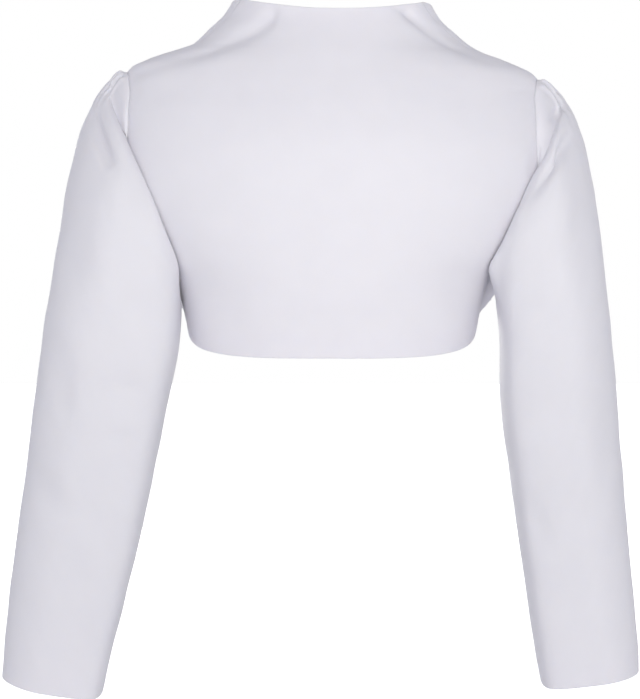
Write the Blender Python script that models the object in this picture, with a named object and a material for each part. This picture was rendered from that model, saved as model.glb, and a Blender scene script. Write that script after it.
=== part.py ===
"""A worn bolero jacket in plain satin: one back, two cutaway fronts and two set-in sleeves.

Metres, +Z up. The wearer faces -Y, so the back of the jacket faces +Y and the wearer's left is +X.
The origin is where the wearer's shoulders hold the jacket: midway between the two sleeve heads' tops.
Angles round the body are measured from the centre back (0) past the side (90) to the centre front (180).
Turns round an armhole and a sleeve go from the shoulder tip (0) by the back (90) to the underarm (180).
Both sides are built on the wearer's left; the right one is its own shape, mirrored at the end.
"""

import bpy
import numpy as np

CLOTH = 0.0014           # the satin with its backing, as one wall
SEAM_GAP = 0.0003        # between the pieces at every seam
LEFT, RIGHT = 1, -1      # the wearer's sides, as the sign of x
LEAN = 0.018             # the jacket sits higher on the left shoulder: rise of z along x
LEAN_FROM, LEAN_TO = -0.214, -0.064

HEM_BACK = -0.2693       # the hem at the centre back
HEM_SIDE = -0.2400       # the hem at the side seams
NECK_BACK = 0.0540       # the top of the stand at the centre back
SIDE = 90.0              # the angle of the side seams
HEM_SWEEP = 4.4          # how late the hem rises on its way to the side
NECK_SWEEP = 2.3         # the same for the top of the stand

ARMHOLE_TOP, UNDERARM = -0.0045, -0.1950   # the armhole's highest and lowest points
ARMHOLE_BACK = 14.3      # how far the armhole opens into the back, in degrees round the body
ARMHOLE_FRONT = 15.5     # and into the front
SEAM_TURN = 8.0          # where the shoulder seam meets the armhole, a little behind the tip

BUST_EASE = {LEFT: 0.0165, RIGHT: 0.0215}   # how far the fronts stand off at the side of the bust
BUST_ANGLE, BUST_SPREAD = 109.0, 13.0
BUST_HEIGHT, BUST_RISE = -0.1970, 0.0310
PER_DEGREE = 0.0018      # along the cloth to a degree round the neck and shoulders

BACK_COLUMNS = 33
FRONT_COLUMNS = 13
SIDE_ROWS, ARMHOLE_ROWS, SHOULDER_ROWS = 4, 13, 8
FOLD_ROWS, CAP_ROWS, TUBE_ROWS = 6, 9, 12
GATHER_TURNS, BACK_TURNS = 4, 2   # columns of a sleeve to each row of its panel
GATHERED_TO = 37.0

SATIN = (0.800, 0.795, 0.845, 1.0)


def table(names, *rows):
    """A table as a dict of columns."""
    return dict(zip(names.split(), np.array(rows, float).T))


# The figure that fills the jacket, as level sections from below the hem to the top of the neck.
BODY = table(
    "height back_width front_width back_depth front_depth squareness",
    (-0.290, 0.1290, 0.1290, 0.0890, 0.0850, 2.4),
    (-0.252, 0.1340, 0.1340, 0.0930, 0.0910, 2.4),
    (-0.233, 0.1373, 0.1373, 0.0960, 0.0980, 2.4),
    (-0.216, 0.1410, 0.1410, 0.0990, 0.1060, 2.4),
    (-0.195, 0.1480, 0.1475, 0.1010, 0.1120, 2.6),
    (-0.176, 0.1615, 0.1575, 0.1025, 0.1160, 2.7),
    (-0.158, 0.1750, 0.1660, 0.1035, 0.1160, 2.7),
    (-0.120, 0.1950, 0.1800, 0.1045, 0.1100, 2.6),
    (-0.083, 0.2040, 0.1870, 0.1030, 0.1000, 2.45),
    (-0.045, 0.2030, 0.1900, 0.0960, 0.0880, 2.3),
    (-0.0245, 0.1990, 0.1935, 0.0895, 0.0806, 2.20),
    (-0.0135, 0.1970, 0.1945, 0.0855, 0.0765, 2.15),
    (-0.0045, 0.1930, 0.1930, 0.0818, 0.0735, 2.11),
    (0.0010, 0.1880, 0.1880, 0.0797, 0.0717, 2.085),
    (0.0070, 0.1765, 0.1765, 0.0774, 0.0701, 2.06),
    (0.0135, 0.1605, 0.1605, 0.0747, 0.0681, 2.035),
    (0.0205, 0.1400, 0.1400, 0.0717, 0.0656, 2.015),
    (0.0280, 0.1270, 0.1270, 0.0685, 0.0635, 2.0),
    (0.0380, 0.1155, 0.1155, 0.0645, 0.0615, 2.0),
    (0.0500, 0.1025, 0.1025, 0.0605, 0.0605, 2.0),
    (0.0660, 0.0925, 0.0925, 0.0575, 0.0610, 2.0),
)

# The shoulder seam, from the armhole up to the top of the stand.
SHOULDER_SEAM = table(
    "share angle height",
    (0.00, 88.0, -0.0045),
    (0.25, 83.0, 0.0050),
    (0.50, 80.5, 0.0170),
    (0.75, 79.0, 0.0360),
    (1.00, 74.5, 0.0650),
)

# The free edge of a front, from beside the side seam up to the neck.
FRONT_EDGE = table(
    "share angle height",
    (0.00, 96.0, -0.2320),
    (0.08, 105.0, -0.2195),
    (0.20, 118.0, -0.1990),
    (0.32, 130.0, -0.1740),
    (0.45, 141.0, -0.1390),
    (0.58, 149.0, -0.0950),
    (0.72, 153.5, -0.0450),
    (0.86, 154.0, 0.0000),
    (1.00, 151.0, 0.0380),
)

# Soft drag folds that run from the stand of the neck over the shoulders.
LEFT_DRAGS = table(
    "angle_a height_a angle_b height_b spread depth",
    (44.0, 0.047, 66.0, 0.011, 0.0080, -0.0044),
    (66.0, 0.011, 79.0, -0.007, 0.0070, -0.0024),
    (84.0, 0.030, 93.0, 0.008, 0.0075, -0.0075),
)
RIGHT_DRAGS = table(
    "angle_a height_a angle_b height_b spread depth",
    (60.0, 0.050, 72.0, 0.014, 0.0080, -0.0038),
    (52.0, 0.058, 76.0, 0.032, 0.0070, -0.0016),
)

# The roll where a sleeve turns out of its armhole: a fold over the back, a plain turn at the front.
# Its way is the direction of the cloth there, and lift the angle at which the cloth leaves the seam.
ROLL = table(
    "turn left_x right_x y height way_x way_y way_z lift",
    (0, 0.2080, 0.2095, 0.0000, -0.0120, 0.78, 0.00, -0.62, 60),
    (20, 0.2085, 0.2110, 0.0130, -0.0225, 0.55, 0.55, -0.60, 60),
    (40, 0.2050, 0.2105, 0.0270, -0.0390, 0.10, 0.95, -0.30, 65),
    (65, 0.1910, 0.2020, 0.0490, -0.0680, 0.00, 1.00, 0.00, 60),
    (90, 0.1750, 0.1850, 0.0610, -0.1000, 0.00, 1.00, 0.00, 50),
    (115, 0.1595, 0.1690, 0.0670, -0.1330, 0.00, 1.00, 0.00, 45),
    (140, 0.1450, 0.1525, 0.0640, -0.1680, 0.00, 1.00, -0.10, 45),
    (152, 0.1410, 0.1445, 0.0590, -0.1830, 0.00, 0.90, -0.40, 48),
    (163, 0.1430, 0.1455, 0.0460, -0.1900, 0.10, 0.60, -0.80, 50),
    (180, 0.1560, 0.1570, 0.0100, -0.1885, 0.50, 0.10, -0.85, 45),
    (205, 0.1625, 0.1625, -0.0200, -0.1840, 0.60, -0.20, -0.75, 45),
    (230, 0.1690, 0.1680, -0.0420, -0.1600, 0.70, -0.30, -0.60, 50),
    (270, 0.1860, 0.1850, -0.0580, -0.1000, 0.80, -0.30, -0.50, 50),
    (310, 0.2010, 0.2010, -0.0400, -0.0460, 0.80, -0.20, -0.55, 55),
    (340, 0.2065, 0.2070, -0.0160, -0.0180, 0.78, -0.08, -0.62, 60),
    (360, 0.2080, 0.2095, 0.0000, -0.0120, 0.78, 0.00, -0.62, 60),
)
ROLL_OUT, ROLL_DOWN = 0.73, 0.58   # how strongly the cap follows its two ends
CLEAR_OF_BODY, CLEAR_SOFTNESS = 0.0022, 0.0006

# The sleeves below the underarm, as sections across the arm; x is outwards on either side.
LEFT_ARM = table(
    "height x y half_width half_depth",
    (-0.214, 0.2015, 0.0260, 0.0618, 0.0570),
    (-0.252, 0.2062, 0.0240, 0.0636, 0.0565),
    (-0.308, 0.2157, 0.0190, 0.0616, 0.0545),
    (-0.365, 0.2254, 0.0120, 0.0597, 0.0515),
    (-0.421, 0.2355, 0.0040, 0.0577, 0.0485),
    (-0.478, 0.2467, -0.0050, 0.0549, 0.0455),
    (-0.534, 0.2577, -0.0150, 0.0511, 0.0430),
    (-0.577, 0.2647, -0.0234, 0.0482, 0.0405),
)
RIGHT_ARM = table(
    "height x y half_width half_depth",
    (-0.214, 0.2045, 0.0260, 0.0515, 0.0620),
    (-0.252, 0.2085, 0.0240, 0.0522, 0.0615),
    (-0.308, 0.2116, 0.0190, 0.0543, 0.0595),
    (-0.365, 0.2180, 0.0120, 0.0528, 0.0570),
    (-0.421, 0.2245, 0.0050, 0.0515, 0.0535),
    (-0.478, 0.2318, -0.0010, 0.0500, 0.0500),
    (-0.534, 0.2390, -0.0062, 0.0486, 0.0462),
    (-0.569, 0.2432, -0.0105, 0.0467, 0.0435),
)
UNDERARM_TWIST = 16.0    # how far the sleeve's underarm line sits in front of its innermost line
PRESSED = 1.6            # the inner back of a sleeve is squarer than an ellipse, whose power is 2
PRESSED_AT, PRESSED_SPREAD = 140.0, 45.0

# Gathers in the cap: where each ridge starts on the seam, how wide it is and how high.
LEFT_GATHERS = table(
    "turn spread height",
    (4.0, 2.6, 0.0022),
    (13.0, 2.6, 0.0024),
    (22.0, 3.0, 0.0018),
)
RIGHT_GATHERS = table(
    "turn spread height",
    (5.0, 3.0, 0.0018),
    (16.0, 3.4, 0.0022),
    (28.0, 3.4, 0.0014),
)

# Soft creases in the sleeves: from one turn and reach to another, with a half width and a depth.
# Reach counts 1 at the roll, 2 at the underarm level and 3 at the cuff.
LEFT_CREASES = table(
    "turn_a reach_a turn_b reach_b spread depth",
    (30, 1.15, 95, 2.10, 9, -0.0040),
    (55, 1.10, 120, 2.05, 9, 0.0030),
    (20, 2.35, 60, 2.50, 10, -0.0022),
    (300, 1.20, 235, 2.10, 10, -0.0035),
    (330, 2.30, 290, 2.48, 12, -0.0022),
)
RIGHT_CREASES = table(
    "turn_a reach_a turn_b reach_b spread depth",
    (32, 1.15, 100, 2.05, 9, -0.0042),
    (60, 1.10, 125, 2.00, 9, 0.0030),
    (130, 2.40, 150, 2.75, 14, -0.0020),
    (300, 1.20, 235, 2.10, 10, -0.0035),
    (330, 2.30, 290, 2.48, 12, -0.0022),
)


def slopes(x, y):
    """Slopes at the points of a curve that never overshoots them: the harmonic mean of its sides."""
    step = np.diff(x)
    rise = np.diff(y) / step
    before, after = rise[:-1], rise[1:]
    same_way = before * after > 0
    inner = np.where(same_way, 2 * before * after / np.where(same_way, before + after, 1.0), 0.0)
    return np.concatenate([rise[:1], inner, rise[-1:]])


def hermite(start, start_way, end, end_way, t):
    """The cubic from start to end that leaves and arrives along the two ways; t runs from 0 to 1."""
    return (
        (2 * t**3 - 3 * t**2 + 1) * start
        + (t**3 - 2 * t**2 + t) * start_way
        + (3 * t**2 - 2 * t**3) * end
        + (t**3 - t**2) * end_way
    )


def curve(x, y, at):
    """The value at each place of a smooth curve through the points x, y."""
    at = np.clip(at, x[0], x[-1])
    i = np.clip(np.searchsorted(x, at, side="right") - 1, 0, len(x) - 2)
    slope = slopes(x, y)
    step = x[i + 1] - x[i]
    return hermite(y[i], slope[i] * step, y[i + 1], slope[i + 1] * step, (at - x[i]) / step)


def smooth_loop(turns, values, at):
    """A closed curve through a table whose first and last rows are the same place."""
    turns = np.concatenate([turns[-3:-1] - 360, turns, turns[1:3] + 360])
    values = np.concatenate([values[-3:-1], values, values[1:3]])
    at = np.mod(at, 360)
    i = np.clip(np.searchsorted(turns, at, side="right") - 1, 1, len(turns) - 3)
    slope = (values[2:] - values[:-2]) / (turns[2:] - turns[:-2])
    step = turns[i + 1] - turns[i]
    t = (at - turns[i]) / step
    return hermite(values[i], slope[i - 1] * step, values[i + 1], slope[i] * step, t)


def unit(vectors):
    return vectors / np.linalg.norm(vectors, axis=-1, keepdims=True)


def normals(surface, u, v, u_step, v_step):
    """Unit normals of a surface function, from its slopes along u and along v."""
    along_u = surface(u + u_step, v) - surface(u - u_step, v)
    along_v = surface(u, v + v_step) - surface(u, v - v_step)
    return unit(np.cross(along_v, along_u))


def drags(angle, height, side):
    """How far the drag folds lift the cloth: each a soft trough or ridge along a short line."""
    lift = np.zeros(angle.shape)
    rows = LEFT_DRAGS if side == LEFT else RIGHT_DRAGS
    for angle_a, height_a, angle_b, height_b, spread, depth in zip(*rows.values()):
        run, rise = (angle_b - angle_a) * PER_DEGREE, height_b - height_a
        across, up = (angle - angle_a) * PER_DEGREE, height - height_a
        along = np.clip((across * run + up * rise) / (run**2 + rise**2), 0, 1)
        away = np.hypot(across - along * run, up - along * rise)
        lift = lift + depth * np.exp(-((away / spread) ** 2))
    return lift


def body(angle, height, side):
    """The point of the figure at an angle round it and a height, as on the wearer's left.

    Each level section is a superellipse in polar form, with one depth behind and another in front.
    """
    angle, height = np.broadcast_arrays(angle, height)
    behind = angle <= SIDE
    column = {name: curve(BODY["height"], BODY[name], height) for name in BODY}
    width = np.where(behind, column["back_width"], column["front_width"])
    depth = np.where(behind, column["back_depth"], column["front_depth"])
    power = column["squareness"]
    sine, cosine = np.sin(np.radians(angle)), np.cos(np.radians(angle))
    radius = ((np.abs(sine) / width) ** power + (np.abs(cosine) / depth) ** power) ** (-1 / power)
    near = ((angle - BUST_ANGLE) / BUST_SPREAD) ** 2 + ((height - BUST_HEIGHT) / BUST_RISE) ** 2
    radius = radius + BUST_EASE[side] * np.exp(-near) * np.clip((angle - SIDE) / BUST_SPREAD, 0, 1)
    radius = radius + drags(angle, height, side)
    return np.stack([radius * sine, radius * cosine, height], axis=-1)


def body_normal(angle, height, side):
    return normals(lambda a, h: body(a, h, side), angle, height, 0.1, 0.0002)


def armhole(turn):
    """The armhole seam as an angle round the body and a height, highest at the shoulder seam."""
    turn = np.radians(turn)
    opening = np.where(np.sin(turn) > 0, ARMHOLE_BACK, ARMHOLE_FRONT)
    past_top = turn - np.radians(SEAM_TURN) * (1 + np.cos(turn)) / 2
    height = ARMHOLE_TOP + (UNDERARM - ARMHOLE_TOP) * (1 - np.cos(past_top)) / 2
    return SIDE - opening * np.sin(turn), height


def armhole_turns(front):
    """The turns at which the rows of a panel end, from the underarm up to the shoulder seam."""
    return np.linspace(-180.0 if front else 180.0, SEAM_TURN, ARMHOLE_ROWS)


def panel_edge(front):
    """Where the rows of a panel end: up the side seam, round the armhole and up the shoulder seam.

    Returns angles, heights and each row's share of the way.
    """
    side_seam = np.linspace(HEM_SIDE, UNDERARM, SIDE_ROWS)[:-1]
    hole_angle, hole_height = armhole(armhole_turns(front))
    share = np.linspace(0, 1, SHOULDER_ROWS)[1:]
    top_angle, top_height = (
        curve(SHOULDER_SEAM["share"], SHOULDER_SEAM[name], share) for name in ("angle", "height")
    )
    angle = np.concatenate([np.full(len(side_seam), SIDE), hole_angle, top_angle])
    height = np.concatenate([side_seam, hole_height, top_height])
    length = np.concatenate([[0], np.cumsum(np.hypot(np.diff(height), 0.0025 * np.diff(angle)))])
    return angle, height, length / length[-1]


def open_seam(points, way, column, sign):
    """Moves one column of a panel back from its seam by half the gap, square to the seam."""
    edge = points[:, column]
    along = np.gradient(edge, axis=0)
    points[:, column] = edge - sign * unit(np.cross(way[:, column], along)) * SEAM_GAP / 2


def back_half(side):
    """Half of the back: rows from the hem to the neck, columns from the centre to the seams."""
    end_angle, end_height, _ = panel_edge(front=False)
    rise = ((end_height - HEM_SIDE) / (end_height[-1] - HEM_SIDE))[:, None]
    middle = HEM_BACK + (NECK_BACK - HEM_BACK) * rise
    sweep = HEM_SWEEP + (NECK_SWEEP - HEM_SWEEP) * rise
    u = np.linspace(0, 1, BACK_COLUMNS // 2 + 1)[None, :]
    angle = end_angle[:, None] * u
    height = middle + (end_height[:, None] - middle) * u**sweep
    points, way = body(angle, height, side), body_normal(angle, height, side)
    open_seam(points, way, -1, 1)
    mirror = np.array([side, 1.0, 1.0])
    return points * mirror, way * mirror


def back_points():
    """The back: rows from the hem to the neck, columns from the wearer's right to the left."""
    halves = zip(back_half(RIGHT), back_half(LEFT))
    return tuple(np.concatenate([right[:, :0:-1], left], axis=1) for right, left in halves)


def front_points(side):
    """A front: rows from the hem to the neck, columns from the side to its free edge."""
    end_angle, end_height, share = panel_edge(front=True)
    edge_angle, edge_height = (
        curve(FRONT_EDGE["share"], FRONT_EDGE[name], share) for name in ("angle", "height")
    )
    u = np.linspace(0, 1, FRONT_COLUMNS)[None, :]
    angle = end_angle[:, None] + (edge_angle - end_angle)[:, None] * u
    height = end_height[:, None] + (edge_height - end_height)[:, None] * u**2.0
    points, way = body(angle, height, side), body_normal(angle, height, side)
    open_seam(points, way, 0, -1)
    return points, way


def seam_turns():
    """The turns at which the rows of both panels end, once round the armhole."""
    return np.concatenate([armhole_turns(front=True), armhole_turns(front=False)[-2::-1]])


def seam(turn, side):
    """The sleeve's own seam edge, with the body's normal and the way out of the panel there.

    It runs straight between the ends of the panel rows, so that the two edges stay together.
    """
    turns = seam_turns()
    points = body(*armhole(turns), side)
    way_up = body_normal(*armhole(turns), side)
    ring = np.concatenate([points[-2:-1], points, points[1:2]])
    out = unit(np.cross(ring[2:] - ring[:-2], way_up))
    at = np.mod(turn + 180, 360) - 180
    i = np.clip(np.searchsorted(turns, at, side="right") - 1, 0, len(turns) - 2)
    t = ((at - turns[i]) / (turns[i + 1] - turns[i]))[..., None]
    edge, way_up, out = ((1 - t) * c[i] + t * c[i + 1] for c in (points, way_up, out))
    return edge + out * SEAM_GAP / 2, way_up, out


def tube(reach, turn, arm):
    """The sleeve below the underarm: reach 2 is its top section and 3 the cuff.

    A section is an ellipse that becomes a squarer superellipse towards its inner back.
    """
    share = np.linspace(0, 1, len(arm["height"]))
    at = np.clip(reach - 2, 0, 1)
    column = {name: curve(share, arm[name], at) for name in arm}
    ahead = {name: curve(share, arm[name], np.clip(at + 0.02, 0, 1)) for name in arm}
    behind = {name: curve(share, arm[name], np.clip(at - 0.02, 0, 1)) for name in arm}
    centre = np.stack([column["x"], column["y"], column["height"]], axis=-1)
    down = unit(np.stack([ahead[n] - behind[n] for n in ("x", "y", "height")], axis=-1))
    across = unit(np.cross(down, np.array([0.0, 1.0, 0.0])))
    back = np.cross(across, down)
    swing = turn + UNDERARM_TWIST * (1 - np.cos(np.radians(turn))) / 2
    near = (np.mod(swing, 360) - PRESSED_AT) / PRESSED_SPREAD
    power = 2 / (2 + PRESSED * np.exp(-(near**2)))
    cosine, sine = np.cos(np.radians(swing)), np.sin(np.radians(swing))
    wide = column["half_width"] * np.sign(cosine) * np.abs(cosine) ** power
    deep = column["half_depth"] * np.sign(sine) * np.abs(sine) ** power
    return centre + across * wide[..., None] + back * deep[..., None]


def sleeve_surface(side):
    """The sleeve as a function of turn and reach, on the wearer's left, without its gathers."""
    arm = LEFT_ARM if side == LEFT else RIGHT_ARM
    roll_x = ROLL["left_x"] if side == LEFT else ROLL["right_x"]

    def around(column, turn):
        return smooth_loop(ROLL["turn"], column, turn)

    def surface(turn, reach):
        turn, reach = np.broadcast_arrays(np.asarray(turn, float), np.asarray(reach, float))
        edge, way_up, out = seam(turn, side)
        roll = np.stack([around(c, turn) for c in (roll_x, ROLL["y"], ROLL["height"])], axis=-1)
        way = unit(np.stack([around(ROLL[c], turn) for c in ("way_x", "way_y", "way_z")], axis=-1))
        lift = np.radians(around(ROLL["lift"], turn))[..., None]
        near = np.linalg.norm(roll - edge, axis=-1, keepdims=True)
        top, below = (tube(np.full(turn.shape, at), turn, arm) for at in (2.0, 2.05))
        far = np.linalg.norm(top - roll, axis=-1, keepdims=True)
        leave = (np.cos(lift) * out + np.sin(lift) * way_up) * near
        arrive = unit(below - top) * far * ROLL_DOWN
        t = reach[..., None]
        cap_in = hermite(edge, leave, roll, way * near, np.clip(t, 0, 1))
        cap_out = hermite(roll, way * far * ROLL_OUT, top, arrive, np.clip(t - 1, 0, 1))
        free = np.where(t <= 1, cap_in, np.where(t <= 2, cap_out, tube(reach, turn, arm)))
        return off_the_body(free, reach, side)

    return surface


def off_the_body(points, reach, side):
    """The same points, pushed out softly to where the sleeve just clears the figure."""
    across = np.linalg.norm(points[..., :2], axis=-1)
    angle = np.degrees(np.arctan2(points[..., 0], points[..., 1]))
    figure = np.linalg.norm(body(angle, points[..., 2], side)[..., :2], axis=-1)
    near_seam = np.clip(reach / 0.5, 0, 1)
    short = (figure + CLEAR_OF_BODY * near_seam - across) / CLEAR_SOFTNESS
    push = np.logaddexp(0, short) * CLEAR_SOFTNESS * np.clip(reach / 0.3, 0, 1)
    points = points.copy()
    points[..., :2] *= (1 + push / across)[..., None]
    return points


def angular_distance(a, b):
    return np.abs(np.mod(a - b + 180, 360) - 180)


def relief(turn, reach, side):
    """How far the gathers and soft creases lift the cloth of a sleeve."""
    gathers, creases = (
        (LEFT_GATHERS, LEFT_CREASES) if side == LEFT else (RIGHT_GATHERS, RIGHT_CREASES)
    )
    lift = np.zeros(np.broadcast(turn, reach).shape)
    fade = np.clip(reach / 0.25, 0, 1) * np.exp(-((np.maximum(reach - 0.6, 0) / 0.45) ** 2))
    for place, spread, high in zip(gathers["turn"], gathers["spread"], gathers["height"]):
        lift = lift + high * np.exp(-((angular_distance(turn, place) / spread) ** 2)) * fade
    for turn_a, reach_a, turn_b, reach_b, spread, depth in zip(*creases.values()):
        along = np.clip((reach - reach_a) / (reach_b - reach_a), -1, 2)
        middle = turn_a + (turn_b - turn_a) * along
        ends = np.exp(-((np.abs(along - 0.5) / 0.5) ** 4))
        lift = lift + depth * np.exp(-((angular_distance(turn, middle) / spread) ** 2)) * ends
    return lift


def sleeve_turns():
    """The turns of a sleeve's columns: those of the seam, with more between them where it folds."""
    turns = seam_turns()
    start, end = turns[:-1], turns[1:]
    count = np.where(end < 0, 1, np.where(end < GATHERED_TO, GATHER_TURNS, BACK_TURNS))
    steps = [np.linspace(a, b, n, endpoint=False) for a, b, n in zip(start, end, count)]
    return np.concatenate(steps)


def sleeve_points(side):
    """A sleeve on the wearer's left: rows from the seam to the cuff, columns round it."""
    turn = sleeve_turns()[None, :]
    reach = np.concatenate(
        [
            np.linspace(0, 1, FOLD_ROWS + 1),
            np.linspace(1, 2, CAP_ROWS + 1)[1:],
            np.linspace(2, 3, TUBE_ROWS + 1)[1:],
        ]
    )[:, None]
    smooth = sleeve_surface(side)

    def surface(turn, reach):
        way = normals(smooth, turn, np.clip(reach, 0.01, 2.99), 0.5, 0.004)
        return smooth(turn, reach) + way * relief(turn, reach, side)[..., None]

    outer = surface(turn, reach)
    way = normals(surface, turn, np.clip(reach, 0.01, 2.99), 0.5, 0.004)
    outer[0], way[0], _ = seam(turn[0], side)
    return outer, way


def leant(points):
    """The jacket's lean: its upper part is sheared up on the wearer's left and down on the right."""
    share = np.clip((points[:, 2] - LEAN_FROM) / (LEAN_TO - LEAN_FROM), 0, 1)
    points[:, 2] += LEAN * points[:, 0] * share**2 * (3 - 2 * share)
    return points


def rim_triangles(borders, inner):
    """The wall's narrow faces along its edges, each square cut the same way on both sides of a seam.

    A border holds where its squares start and end, and whether that is the way the grid runs. The
    inner points follow the outer ones at a distance of inner.
    """
    triangles = []
    for start, end, forward in borders:
        corner = end + inner if forward else start + inner
        other = start if forward else end
        triangles += [
            np.stack([end, start, corner], axis=-1),
            np.stack([other, start + inner, end + inner], axis=-1),
        ]
    return np.concatenate(triangles)


def cloth(name, outer, way, side=LEFT, ring=False):
    """One piece of cloth as a closed wall: the outer points, and the same points a wall further in."""
    mirror = np.array([side, 1.0, 1.0])
    outer, way = outer * mirror, way * mirror
    rows, columns = outer.shape[:2]
    points = leant(np.concatenate([outer.reshape(-1, 3), (outer - CLOTH * way).reshape(-1, 3)]))
    inner = rows * columns
    index = np.arange(inner).reshape(rows, columns)
    if ring:
        index = np.concatenate([index, index[:, :1]], axis=1)
    a, b, c, d = index[:-1, :-1], index[:-1, 1:], index[1:, 1:], index[1:, :-1]
    skin = np.stack([a, b, c, d], axis=-1).reshape(-1, 4)
    borders = [(index[0, :-1], index[0, 1:], True), (index[-1, 1:], index[-1, :-1], False)]
    if not ring:
        borders += [(index[1:, 0], index[:-1, 0], False), (index[:-1, -1], index[1:, -1], True)]
    squares, rims = np.concatenate([skin, skin[:, ::-1] + inner]), rim_triangles(borders, inner)
    if side == LEFT:
        squares, rims = squares[:, ::-1], rims[:, ::-1]
    mesh = bpy.data.meshes.new(name)
    mesh.from_pydata(points.tolist(), [], squares.tolist() + rims.tolist())
    mesh.shade_smooth()
    mesh.set_sharp_from_angle(angle=np.radians(50))
    piece = bpy.data.objects.new(name, mesh)
    piece.data.materials.append(satin())
    return piece


def satin():
    """White duchess satin: a smooth, softly shining woven cloth."""
    found = bpy.data.materials.get("white_satin")
    if found:
        return found
    material = bpy.data.materials.new("white_satin")
    material.use_nodes = True
    surface = material.node_tree.nodes["Principled BSDF"]
    surface.inputs["Base Color"].default_value = SATIN
    surface.inputs["Roughness"].default_value = 0.42
    surface.inputs["Metallic"].default_value = 0.0
    return material


def build():
    for old in list(bpy.data.objects):
        bpy.data.objects.remove(old)
    jacket = bpy.data.collections.new("bolero_jacket")
    bpy.context.scene.collection.children.link(jacket)
    pieces = [
        cloth("back", *back_points()),
        cloth("front_left", *front_points(LEFT)),
        cloth("front_right", *front_points(RIGHT), side=RIGHT),
        cloth("sleeve_left", *sleeve_points(LEFT), ring=True),
        cloth("sleeve_right", *sleeve_points(RIGHT), side=RIGHT, ring=True),
    ]
    for piece in pieces:
        jacket.objects.link(piece)


build()
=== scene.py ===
# %% [markdown]
# # A bolero jacket in white duchess satin
#
# A bolero ends above the waist. This one has one plain back with a stand-up neck cut in one with
# it, two cutaway fronts and two long set-in sleeves, five pieces of cloth in all. Nobody wears it,
# yet it keeps the hollow form of the figure that filled it. Each piece of cloth here is a surface:
# a formula that takes two numbers, such as an angle and a height, and gives a point. Numpy works
# out whole grids of such points at once, and a wall of cloth is then laid on each grid. The
# formulas are those of the solid model, on a finer grid, so that seams and small folds have room.
#
# Lengths are metres and +Z is up. The wearer faces -Y, so the camera at +Y sees the back.

import bpy
import numpy as np
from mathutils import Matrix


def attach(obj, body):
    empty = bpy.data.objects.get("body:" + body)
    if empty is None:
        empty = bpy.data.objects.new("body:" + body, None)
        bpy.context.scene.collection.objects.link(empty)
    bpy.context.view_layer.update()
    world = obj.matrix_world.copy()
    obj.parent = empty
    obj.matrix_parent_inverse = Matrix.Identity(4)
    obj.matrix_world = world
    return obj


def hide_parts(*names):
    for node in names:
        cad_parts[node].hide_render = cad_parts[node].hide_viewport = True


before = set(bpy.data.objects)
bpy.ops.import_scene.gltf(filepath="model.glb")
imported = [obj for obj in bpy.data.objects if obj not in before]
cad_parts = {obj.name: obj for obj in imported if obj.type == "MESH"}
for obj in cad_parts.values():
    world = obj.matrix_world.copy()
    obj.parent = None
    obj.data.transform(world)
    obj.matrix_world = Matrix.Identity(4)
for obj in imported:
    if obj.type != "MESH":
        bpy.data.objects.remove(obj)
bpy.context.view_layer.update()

# %% [markdown]
# ## The camera
#
# A garment is photographed from a few metres away with a long lens, level with its middle, so that
# the near parts don't look too big. The lens follows from how much of the jacket's own plane the
# picture's height should show: focal length is to sensor as distance is to that height.

# %% A level camera behind the wearer
CAMERA_PLACE = (0.0113, 3.0, -0.261)
PICTURE_HEIGHT = 0.657  # of the plane through the shoulders
SENSOR = 0.036

lens = bpy.data.cameras.new("camera")
lens.sensor_width = 1000 * SENSOR
lens.lens = 1000 * SENSOR * CAMERA_PLACE[1] / PICTURE_HEIGHT
camera = bpy.data.objects.new("camera", lens)
camera.location = CAMERA_PLACE
camera.rotation_euler = (np.radians(90), 0, np.radians(180))
bpy.context.scene.collection.objects.link(camera)
bpy.context.scene.camera = camera
print("focal length:", round(lens.lens, 1), "mm")

# %% [markdown]
# ## Curves through a few points
#
# A pattern cutter draws a long line through a few measured points. The same is done here: each
# shape is a short table of measures, and a cubic through them gives every place between. Such a
# cubic must not swing past its points, or a sleeve would bulge where nothing bulges.

# %% Tables and cubics
LEFT, RIGHT = 1, -1


def table(names, *rows):
    """A table as a dict of columns."""
    return dict(zip(names.split(), np.array(rows, float).T))


def both_sides(names, left, right):
    """A table for the wearer's left side and one for the right."""
    return {LEFT: table(names, *left), RIGHT: table(names, *right)}


def hermite(start, start_way, end, end_way, t):
    """The cubic from start to end that leaves and arrives along the two ways, t from 0 to 1."""
    return (
        (2 * t**3 - 3 * t**2 + 1) * start
        + (t**3 - 2 * t**2 + t) * start_way
        + (3 * t**2 - 2 * t**3) * end
        + (t**3 - t**2) * end_way
    )


def slopes(x, y):
    """Slopes that never overshoot: the harmonic mean of the sides' slopes, or 0 at a peak."""
    rise = np.diff(y) / np.diff(x)
    before, after = rise[:-1], rise[1:]
    same_way = before * after > 0
    inner = np.where(same_way, 2 * before * after / np.where(same_way, before + after, 1.0), 0.0)
    return np.concatenate([rise[:1], inner, rise[-1:]])


def curve(x, y, at):
    """The value at each place of a smooth curve through the points x, y."""
    at = np.clip(at, x[0], x[-1])
    i = np.clip(np.searchsorted(x, at, side="right") - 1, 0, len(x) - 2)
    slope, step = slopes(x, y), x[i + 1] - x[i]
    return hermite(y[i], slope[i] * step, y[i + 1], slope[i + 1] * step, (at - x[i]) / step)


def read(rows, key, at):
    """Every column of a table where its key column would have the given values."""
    return {name: curve(rows[key], rows[name], at) for name in rows}


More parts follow.
